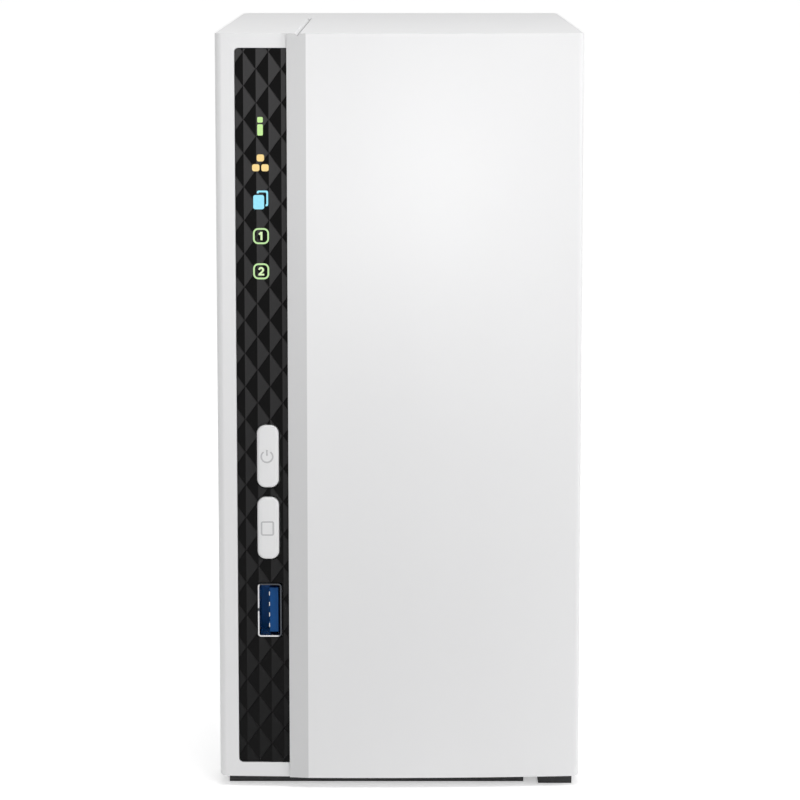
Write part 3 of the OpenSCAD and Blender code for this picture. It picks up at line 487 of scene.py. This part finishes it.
# ------------------------------------------------------------------ buttons
def make_button(name, cz, body, node_name, marks):
    bm = bmesh.new()
    # cap with a rolled edge: nested outlines step back from a gently crowned face
    prof = [(0.0, 0.0, 5.0), (0.0, 0.0, 1.82), (0.06, 0.0, 1.62), (0.2, 0.0, 1.44), (0.42, 0.0, 1.32), (0.8, 0.0, 1.27), (1.5, 0, 1.25)]
    rings = []
    for inset, _, y in prof:
        o = rr_outline(-32.6, cz + 0.05, 5.4 - 2 * inset, 15.65 - 2 * inset, max(0.3, 2.1 - inset), 12)
        rings.append([bm.verts.new((x * MM, (Y0 + y) * MM, z * MM)) for x, z in o])
    n = len(rings[0])
    for a, c in zip(rings, rings[1:]):
        for i in range(n):
            j = (i + 1) % n
            bm.faces.new((a[j], a[i], c[i], c[j]))
    bm.faces.new(rings[-1])
    bm.faces.new(list(reversed(rings[0])))
    for f in bm.faces:
        f.smooth = len(f.verts) == 4
    add_box(bm, -36.15, -28.95, Y0 + 4.7, Y0 + 5.8, cz - 8.4, cz + 8.4)
    add_cyl_y(bm, -32.55, cz, Y0 + 5.7, Y0 + 7.34, 1.6)
    ob = obj_from_bm(bm, name, [M["button_grey"], M["button_mark"]], body)
    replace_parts(ob, node_name)
    bm = bmesh.new()
    marks(bm)
    mk = obj_from_bm(bm, name + "_mark", M["button_mark"], body)
    for p in mk.data.polygons:
        p.use_smooth = True
    return ob


def tube(bm, pts, r=0.1, closed=False, y=Y0 + 1.25, n=8):
    """Raised bead along an XZ path (mm), half sunk in the button's face."""
    rings = []
    m = len(pts)
    for i, (x, z) in enumerate(pts):
        a = pts[(i - 1) % m] if (closed or i > 0) else pts[i]
        c = pts[(i + 1) % m] if (closed or i < m - 1) else pts[i]
        d = Vector((c[0] - a[0], 0, c[1] - a[1])).normalized()
        s = Vector((d.z, 0, -d.x))
        rings.append([bm.verts.new(((x + s.x * r * math.cos(t)) * MM, (y - 0.06 * math.sin(t)) * MM, (z + s.z * r * math.cos(t)) * MM))
                      for t in [2 * math.pi * k / n for k in range(n)]])
    for i in range(m if closed else m - 1):
        a, c = rings[i], rings[(i + 1) % m]
        for k in range(n):
            bm.faces.new((a[k], a[(k + 1) % n], c[(k + 1) % n], c[k]))
    if not closed:
        bm.faces.new(list(reversed(rings[0])))
        bm.faces.new(rings[-1])


def power_marks(bm):
    cx, cz, r = -32.78, 84.3, 1.42
    arc = [(cx + r * math.sin(math.radians(a)), cz + r * math.cos(math.radians(a))) for a in range(36, 325, 9)]
    tube(bm, arc, 0.2)
    tube(bm, [(cx, cz + 0.3), (cx, cz + 0.9), (cx, cz + 1.7)], 0.2)


def copy_marks(bm):
    tube(bm, rr_outline(-32.78, 66.22, 2.9, 3.3, 0.4, 5), 0.2, closed=True)


make_button("power_button_cap", 84.3, "power_button", "power_button", power_marks)
make_button("copy_button_cap", 66.24, "copy_button", "copy_button", copy_marks)


# ------------------------------------------------------------------ hard drive lids, labels and lid screws
def rr_yz(cy, cz, w, h, r, n=8):
    return [(y, z) for y, z in rr_outline(cy, cz, w, h, r, n)]


def stack_x(bm, rings, mat=0, smooth=True):
    """Closed solid through outlines in YZ (mm), each with its own x; all outlines have the same number of points."""
    V = [[bm.verts.new((x * MM, y * MM, z * MM)) for y, z in ol] for x, ol in rings]
    n = len(V[0])
    for a, c in zip(V, V[1:]):
        for i in range(n):
            j = (i + 1) % n
            f = bm.faces.new((a[i], a[j], c[j], c[i]))
            f.material_index = mat
            f.smooth = smooth
    for f in (bm.faces.new(list(reversed(V[0]))), bm.faces.new(V[-1])):
        f.material_index = mat


def circle_yz(cy, cz, r, n=96):
    return [(cy + r * math.cos(2 * math.pi * k / n), cz + r * math.sin(2 * math.pi * k / n)) for k in range(n)]


def star_yz(cy, cz, r0, r1, lobes=6, n=36):
    return [(cy + (r0 + (r1 - r0) * 0.5 * (1 + math.cos(lobes * 2 * math.pi * k / n))) * math.cos(2 * math.pi * k / n),
             cz + (r0 + (r1 - r0) * 0.5 * (1 + math.cos(lobes * 2 * math.pi * k / n))) * math.sin(2 * math.pi * k / n)) for k in range(n)]


def torx_screw(bm, cy, cz, x, r, mat=0):
    """Flat head with a six-lobed recess, its outer face at x."""
    n = 36
    rings = [(x - 0.35, circle_yz(cy, cz, r, n)), (x - 0.1, circle_yz(cy, cz, r, n)), (x, circle_yz(cy, cz, r - 0.14, n)),
             (x, star_yz(cy, cz, r * 0.34, r * 0.48, 6, n)), (x - 0.25, star_yz(cy, cz, r * 0.3, r * 0.44, 6, n))]
    stack_x(bm, rings, mat, smooth=False)


def label_mat():
    m, nt, bs = new_mat("drive_label")
    co = node(nt, "ShaderNodeTexCoord").outputs["Object"]
    sep = node(nt, "ShaderNodeSeparateXYZ")
    nt.links.new(co, sep.inputs[0])
    paper = ramp2(nt, noise(nt, co, 900, 3), (0.735, 0.735, 0.725), (0.75, 0.75, 0.74))
    band = rng(nt, sep.outputs["Z"], 0.0, 1.0, 0.1405, 0.1406)
    mx = node(nt, "ShaderNodeMix", data_type="RGBA")
    nt.links.new(band, mx.inputs["Factor"])
    nt.links.new(paper, mx.inputs["A"])
    mx.inputs["B"].default_value = (0.10, 0.22, 0.30, 1)
    nt.links.new(mx.outputs["Result"], bs.inputs["Base Color"])
    nt.links.new(rng(nt, noise(nt, co, 1500, 2), 0.42, 0.55), bs.inputs["Roughness"])
    bp = node(nt, "ShaderNodeBump")
    bp.inputs["Strength"].default_value = 0.1
    bp.inputs["Distance"].default_value = 0.00001
    nt.links.new(noise(nt, co, 2200, 2), bp.inputs["Height"])
    nt.links.new(bp.outputs[0], bs.inputs["Normal"])
    return m


M["drive_label"] = label_mat()
PLAT_Y, PLAT_Z = Y0 + 57.6, 109.0


def make_lid(cx, k):
    x0, x1 = cx + 12.05, cx + 12.85
    bm = bmesh.new()
    cy, cz, w, h = Y0 + 57.6, (32 + 162.6) / 2, 98.6, 130.6
    stack_x(bm, [(x, rr_yz(cy, cz, w - 2 * d, h - 2 * d, 4 - d, 8)) for d, x in ((0.0, x0), (0.0, x1 - 0.42), (0.07, x1 - 0.2), (0.22, x1 - 0.06), (0.45, x1))])
    # stamped boss over the disks, with a shallow ring inside it
    rings = [(x1 - 0.1, 42.0), (x1 + 0.02, 41.9), (x1 + 0.14, 41.5), (x1 + 0.2, 41.0), (x1 + 0.2, 15.2), (x1 + 0.1, 14.6), (x1 + 0.1, 12.2), (x1 + 0.2, 11.6), (x1 + 0.2, 5.0)]
    stack_x(bm, [(x, circle_yz(PLAT_Y, PLAT_Z, r)) for x, r in rings])
    lid = obj_from_bm(bm, "drive_%d_lid" % k, M["drive_lid"], "chassis")
    bm = bmesh.new()
    for y, z in ((-45.5, 158.6), (45.5, 158.6), (-45.5, 98), (45.5, 98), (-45.5, 36.2), (45.5, 36.2), (0, 36.2), (-40, 66)):
        torx_screw(bm, Y0 + 57.6 + y, z, x1 + 0.25, 2.3)
    stack_x(bm, [(x1 + 0.1, circle_yz(PLAT_Y, PLAT_Z, 4.4, 36)), (x1 + 0.24, circle_yz(PLAT_Y, PLAT_Z, 4.4, 36)), (x1 + 0.3, circle_yz(PLAT_Y, PLAT_Z, 4.1, 36)),
                 (x1 + 0.3, star_yz(PLAT_Y, PLAT_Z, 1.5, 2.1)), (x1 + 0.05, star_yz(PLAT_Y, PLAT_Z, 1.4, 1.95))], smooth=False)
    obj_from_bm(bm, "drive_%d_lid_screws" % k, M["screw_steel"], "chassis")
    bm = bmesh.new()
    # paper label below the boss and a narrow one on it
    stack_x(bm, [(x, rr_yz(Y0 + 59.5, 50.5, 66, 27, 1.4, 6)) for x in (x1 - 0.02, x1 + 0.07)], smooth=False)
    stack_x(bm, [(x, rr_yz(PLAT_Y, 134.5, 52, 18, 1.4, 6)) for x in (x1 + 0.15, x1 + 0.27)], smooth=False)
    obj_from_bm(bm, "drive_%d_label" % k, M["drive_label"], "chassis")
    return lid


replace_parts(make_lid(-4.6, 1), "drive_lids")
make_lid(26.2, 2)


# ------------------------------------------------------------------ small parts on the mainboard, socket contacts
def add_poly_z(bm, pts, z0, z1, mat=0):
    a = [bm.verts.new((x * MM, y * MM, z0 * MM)) for x, y in pts]
    c = [bm.verts.new((x * MM, y * MM, z1 * MM)) for x, y in pts]
    n = len(pts)
    fs = [bm.faces.new(list(reversed(a))), bm.faces.new(c)] + [bm.faces.new((a[i], a[(i + 1) % n], c[(i + 1) % n], c[i])) for i in range(n)]
    for f in fs:
        f.material_index = mat


bm = bmesh.new()
for i in range(8):
    z = 74 + (i - 3.5) * 1.02
    add_poly_z(bm, [(-33.46, Y0 + 154.4), (-33.2, Y0 + 154.6), (-31.3, Y0 + 147.2), (-31.2, Y0 + 146.2), (-31.5, Y0 + 145.9), (-31.75, Y0 + 147.0)], z - 0.22, z + 0.22)
obj_from_bm(bm, "lan_contacts", M["gold_contact"], "chassis")
bm = bmesh.new()
for zc in (101, 121):
    for i in (-4, -1.35, 1.35, 4):
        add_box(bm, -32.34, -32.18, Y0 + 147, Y0 + 154.7, zc + i - 0.5, zc + i + 0.5)
obj_from_bm(bm, "rear_usb_contacts", M["gold_contact"], "chassis")

bm = bmesh.new()
xb = -35.3


def smd(y, z, w, h, t, body, ends):
    """Chip component: a body with two plated ends along its longer side."""
    x1 = xb + t
    yy, zz = Y0 + y, z
    if w >= h:
        e = w * 0.22
        add_box(bm, xb - 0.01, x1, yy - w / 2 + e, yy + w / 2 - e, zz - h / 2, zz + h / 2, body)
        for sgn in (-1, 1):
            a, c = sorted((yy + sgn * w / 2, yy + sgn * (w / 2 - e)))
            add_box(bm, xb - 0.01, x1 + 0.02, a, c, zz - h / 2, zz + h / 2, ends)
    else:
        e = h * 0.22
        add_box(bm, xb - 0.01, x1, yy - w / 2, yy + w / 2, zz - h / 2 + e, zz + h / 2 - e, body)
        for sgn in (-1, 1):
            a, c = sorted((zz + sgn * h / 2, zz + sgn * (h / 2 - e)))
            add_box(bm, xb - 0.01, x1 + 0.02, yy - w / 2, yy + w / 2, a, c, ends)


def taken(y, z):
    for a, b_, c, d in ((8, 20, 60, 172), (26, 54, 122, 152), (28, 42, 28, 40), (124, 150, 110, 172), (52, 98, 86, 134), (66, 84, 134, 148), (66, 84, 74, 90), (98, 119, 130, 149), (84, 99, 143, 157),
                        (110, 125, 66, 80), (112, 130, 82, 128), (36, 50, 96, 110), (98, 128, 40, 62), (80, 94, 38, 64), (30, 66, 54, 70), (126, 150, 26, 90), (36, 66, 26, 54), (24, 36, 158, 170)):
        if a <= y <= b_ and c <= z <= d:
            return True
    return False


seed = 7
for i in range(260):
    seed = (seed * 1103515245 + 12345) % 2147483648
    gy = 22 + (seed >> 8) % 61 * 2
    seed = (seed * 1103515245 + 12345) % 2147483648
    gz = 40 + (seed >> 8) % 64 * 2
    seed = (seed * 1103515245 + 12345) % 2147483648
    kind = (seed >> 9) % 6
    if taken(gy, gz) or gz > 169:
        continue
    if kind < 3:
        smd(gy, gz, 1.6, 0.8, 0.5, 0, 2)
    elif kind < 5:
        smd(gy, gz, 0.8, 1.6, 0.7, 1, 2)
    else:
        smd(gy, gz, 1.5, 1.5, 0.6, 0, 2)
small = obj_from_bm(bm, "board_small_parts", [M["chip_black"], M["ferrite_tan"], M["solder"]], "chassis")


# ------------------------------------------------------------------ CAD nodes: finish and softened edges
def cover_mat():
    """The cover's plastic, with painted shade on the narrow bevel beside the control strip: its colour there is
    multiplied by 0.80.
    """
    m = surface("cover_plastic", (0.775, 0.775, 0.78), rough=0.42, vary=0.008, rvary=0.05, big=12, fine=2600, bump=0.12, dist=0.00002)
    nt = m.node_tree
    bs = next(n for n in nt.nodes if n.type == "BSDF_PRINCIPLED")
    src = bs.inputs["Base Color"].links[0].from_socket
    sep = node(nt, "ShaderNodeSeparateXYZ")
    nt.links.new(node(nt, "ShaderNodeTexCoord").outputs["Object"], sep.inputs[0])
    side = rng(nt, sep.outputs["X"], 1.0, 0.0, -0.02288, -0.02272)
    depth = rng(nt, sep.outputs["Y"], 1.0, 0.0, (Y0 + 1.2) * MM, (Y0 + 1.6) * MM)
    both = node(nt, "ShaderNodeMath", operation="MULTIPLY")
    nt.links.new(side, both.inputs[0])
    nt.links.new(depth, both.inputs[1])
    # painted shade: the bevel's colour is darkened to 0.80 so that it looks turned away from the light
    painted_bevel_shade = node(nt, "ShaderNodeMix", data_type="RGBA", blend_type="MULTIPLY")
    painted_bevel_shade.inputs["B"].default_value = (0.80, 0.80, 0.80, 1)
    nt.links.new(both.outputs[0], painted_bevel_shade.inputs["Factor"])
    nt.links.new(src, painted_bevel_shade.inputs["A"])
    nt.links.new(painted_bevel_shade.outputs["Result"], bs.inputs["Base Color"])
    return m


def socket_mat():
    """Plated shell of the front socket with painted light: a painted highlight on the left and lower rim, broken by the
    joint of the rolled sheet, painted shade on the rest of the rim, and a painted blue reflection of the insert deeper
    inside.
    """
    m = surface("socket_shell", (0.78, 0.78, 0.79), rough=0.24, metal=1.0, vary=0.05, rvary=0.07, big=180, fine=1500, bump=0.1, dist=0.00002, stretch=(1, 0.15, 1))
    nt = m.node_tree
    bs = next(n for n in nt.nodes if n.type == "BSDF_PRINCIPLED")
    src = bs.inputs["Base Color"].links[0].from_socket
    sep = node(nt, "ShaderNodeSeparateXYZ")
    nt.links.new(node(nt, "ShaderNodeTexCoord").outputs["Object"], sep.inputs[0])

    def math2(op, a, c):
        n = node(nt, "ShaderNodeMath", operation=op)
        nt.links.new(a, n.inputs[0])
        nt.links.new(c, n.inputs[1])
        return n.outputs[0]

    # painted highlight on the left rim, broken by the joint of the rolled sheet, and on the lower rim; the rest of the
    # rim gets painted shade
    left = rng(nt, sep.outputs["X"], 1.0, 0.0, -0.03500, -0.03480)
    joint = math2("MAXIMUM", rng(nt, sep.outputs["Z"], 1.0, 0.0, 0.04500, 0.04530), rng(nt, sep.outputs["Z"], 0.0, 1.0, 0.04580, 0.04610))
    low = math2("MULTIPLY", rng(nt, sep.outputs["Z"], 1.0, 0.0, 0.03905, 0.03925), rng(nt, sep.outputs["X"], 1.0, 0.0, -0.03040, -0.02990))
    painted_rim_highlight = math2("MAXIMUM", math2("MULTIPLY", left, joint), low)
    mx = node(nt, "ShaderNodeMix", data_type="RGBA")
    nt.links.new(painted_rim_highlight, mx.inputs["Factor"])
    # painted shade at the front of the shell, going over to a painted blue reflection of the insert deeper inside
    inside = rng(nt, sep.outputs["Y"], 0.0, 1.0, (Y0 + 1.95) * MM, (Y0 + 2.3) * MM)
    nt.links.new(ramp2(nt, inside, (0.085, 0.09, 0.10), (0.03, 0.20, 0.42), 0.0, 1.0), mx.inputs["A"])
    nt.links.new(src, mx.inputs["B"])
    nt.links.new(mx.outputs["Result"], bs.inputs["Base Color"])
    return m


def insert_mat():
    """Blue insert of the front socket, painted lighter at the back of the shell than on the tongue: painted light over
    the shade deep in the socket.
    """
    m = surface("usb_insert", (0.0028, 0.06, 0.21), rough=0.36, spec=0.2, vary=0.08, big=200, fine=3000, bump=0.15, dist=0.00002)
    nt = m.node_tree
    bs = next(n for n in nt.nodes if n.type == "BSDF_PRINCIPLED")
    src = bs.inputs["Base Color"].links[0].from_socket
    sep = node(nt, "ShaderNodeSeparateXYZ")
    nt.links.new(node(nt, "ShaderNodeTexCoord").outputs["Object"], sep.inputs[0])
    # painted light: the back of the insert is painted a paler blue where it lies in shade
    mx = node(nt, "ShaderNodeMix", data_type="RGBA")
    nt.links.new(rng(nt, sep.outputs["Y"], 0.0, 1.0, (Y0 + 9.0) * MM, (Y0 + 11.0) * MM), mx.inputs["Factor"])
    nt.links.new(src, mx.inputs["A"])
    mx.inputs["B"].default_value = (0.003, 0.16, 0.55, 1)
    nt.links.new(mx.outputs["Result"], bs.inputs["Base Color"])
    return m


M["cover_plastic"] = cover_mat()
M["socket_shell"] = socket_mat()
M["usb_insert"] = insert_mat()
M["contact_pale"] = surface("contact_pale", (0.84, 0.80, 0.72), rough=0.2, metal=1.0, vary=0.05, big=300, fine=3000, bump=0.1, dist=0.00001)
OTHER = {"case_cover": "cover_plastic", "front_usb_shell": "socket_shell", "front_usb_contacts": "contact_pale", "front_usb_tongue": "usb_insert"}
SLOT = {s["node"]: s["material_slot"] for s in frame["record"]["subparts"]}
for name, ob in NODES.items():
    key = SLOT.get(name)
    m = M.get(OTHER.get(name, key)) or M["black_plastic"]
    ob.data.materials.clear()
    ob.data.materials.append(m)


def soften(name, width, segs=2, angle=35, even=False):
    """Softened edges; even=True spreads the shading of gently curved faces instead of keeping each facet flat."""
    ob = NODES[name]
    w = ob.modifiers.new("weld", "WELD")
    w.merge_threshold = 1e-6
    bv = ob.modifiers.new("bevel", "BEVEL")
    bv.width = width * MM
    bv.segments = segs
    bv.limit_method = "ANGLE"
    bv.angle_limit = math.radians(angle)
    bv.harden_normals = not even
    bv.use_clamp_overlap = True
    if even:
        wn = ob.modifiers.new("even", "WEIGHTED_NORMAL")
        wn.mode = "FACE_AREA"
        wn.weight = 100
        wn.keep_sharp = False


for n, wd, sg in (("chassis_shell", 0.4, 3), ("case_cover", 0.4, 3), ("foot_bars", 0.15, 2), ("cover_foot", 0.15, 2),
                  ("front_usb_shell", 0.1, 2), ("front_usb_tongue", 0.12, 2), ("rear_usb_shells", 0.1, 2), ("lan_jack_shell", 0.12, 2),
                  ("drive_tray_1", 0.35, 2), ("drive_tray_2", 0.35, 2), ("drive_cage", 0.2, 2), ("hard_drive_1", 0.5, 2), ("hard_drive_2", 0.5, 2)):
    soften(n, wd, sg, even=n == "chassis_shell")


# ------------------------------------------------------------------ stage, light, camera
FLOOR_GLOW = 0.55
WORLD = 0.30
# each light: name, place, aim, size, power
LIGHTS = [
    ("right", (0.6, -0.30, 0.40), (0, -0.05, 0.11), 0.3, 1.62),
    ("top_front", (0.0, -0.45, 0.80), (0, -0.05, 0.15), 0.4, 1.78),
    ("brow", (0.02, -0.30, 0.46), (0, -0.05, 0.15), 0.15, 0.208),
    ("near", (0.005, -0.165, 0.160), (0.005, -0.05, 0.15), 0.05, 0.019),
]
# soft parts of the sky: direction that each part is centred on, and its strength
SKY = [
    ("sky_back", (0.0, 1.0, 0.15), 0.718),
]
bm = bmesh.new()
bmesh.ops.create_grid(bm, x_segments=2, y_segments=2, size=60.0)
bmesh.ops.translate(bm, verts=bm.verts, vec=(0, 0, -0.00005))
FLOOR_MAT = surface("floor_white", (0.9, 0.9, 0.9), rough=0.9, vary=0.002, rvary=0.02, big=2, fine=40, bump=0.0, spec=0.1, emit=(1, 1, 1), emit_s=FLOOR_GLOW)
nt = FLOOR_MAT.node_tree
along = node(nt, "ShaderNodeSeparateXYZ")
nt.links.new(node(nt, "ShaderNodeTexCoord").outputs["Object"], along.inputs[0])
fade = node(nt, "ShaderNodeMapRange", interpolation_type="SMOOTHSTEP")
fade.inputs["From Min"].default_value = -0.25
fade.inputs["From Max"].default_value = 0.12
fade.inputs["To Min"].default_value = 0.15
fade.inputs["To Max"].default_value = FLOOR_GLOW
nt.links.new(along.outputs["Y"], fade.inputs["Value"])
nt.links.new(fade.outputs[0], next(n for n in nt.nodes if n.type == "BSDF_PRINCIPLED").inputs["Emission Strength"])
floor = obj_from_bm(bm, "floor", FLOOR_MAT, None)

w = bpy.data.worlds.new("studio")
SC.world = w
w.use_nodes = True
nt = w.node_tree
bg = nt.nodes["Background"]
bg.inputs[0].default_value = (1, 1, 1, 1)
heading = node(nt, "ShaderNodeTexCoord").outputs["Generated"]
total = None
for name, d, k in SKY:
    dot = node(nt, "ShaderNodeVectorMath", operation="DOT_PRODUCT")
    nt.links.new(heading, dot.inputs[0])
    dot.inputs[1].default_value = Vector(d).normalized()
    pos = node(nt, "ShaderNodeMath", operation="MAXIMUM")
    nt.links.new(dot.outputs["Value"], pos.inputs[0])
    pos.inputs[1].default_value = 0.0
    mul = node(nt, "ShaderNodeMath", operation="MULTIPLY_ADD")
    nt.links.new(pos.outputs[0], mul.inputs[0])
    mul.inputs[1].default_value = k
    if total is None:
        mul.inputs[2].default_value = WORLD
    else:
        nt.links.new(total, mul.inputs[2])
    total = mul.outputs[0]
nt.links.new(total, bg.inputs[1])


def area(name, loc, target, size, power, size_y=None, spread=180):
    ld = bpy.data.lights.new(name, "AREA")
    ld.shape = "RECTANGLE" if size_y else "SQUARE"
    ld.size = size
    if size_y:
        ld.size_y = size_y
    ld.energy = power
    ld.spread = math.radians(spread)
    o = bpy.data.objects.new(name, ld)
    COL.objects.link(o)
    o.location = loc
    o.rotation_euler = (Vector(target) - Vector(loc)).to_track_quat("-Z", "Y").to_euler()
    o.visible_camera = False
    return o


for name, loc, aim, size, power in LIGHTS:
    area(name, loc, aim, size, power)

cam_data = bpy.data.cameras.new("camera")
cam = bpy.data.objects.new("camera", cam_data)
COL.objects.link(cam)
cam_data.sensor_width = 36
cam_data.lens = 150.35
cam_data.clip_start = 0.05
cam_data.clip_end = 50
cam.location = (0.00128, -0.89370, 0.21959)
cam.rotation_euler = (math.radians(90 - 8.431), 0, math.radians(0.079))
SC.camera = cam
SC.view_settings.view_transform = "Standard"
SC.view_settings.look = "None"
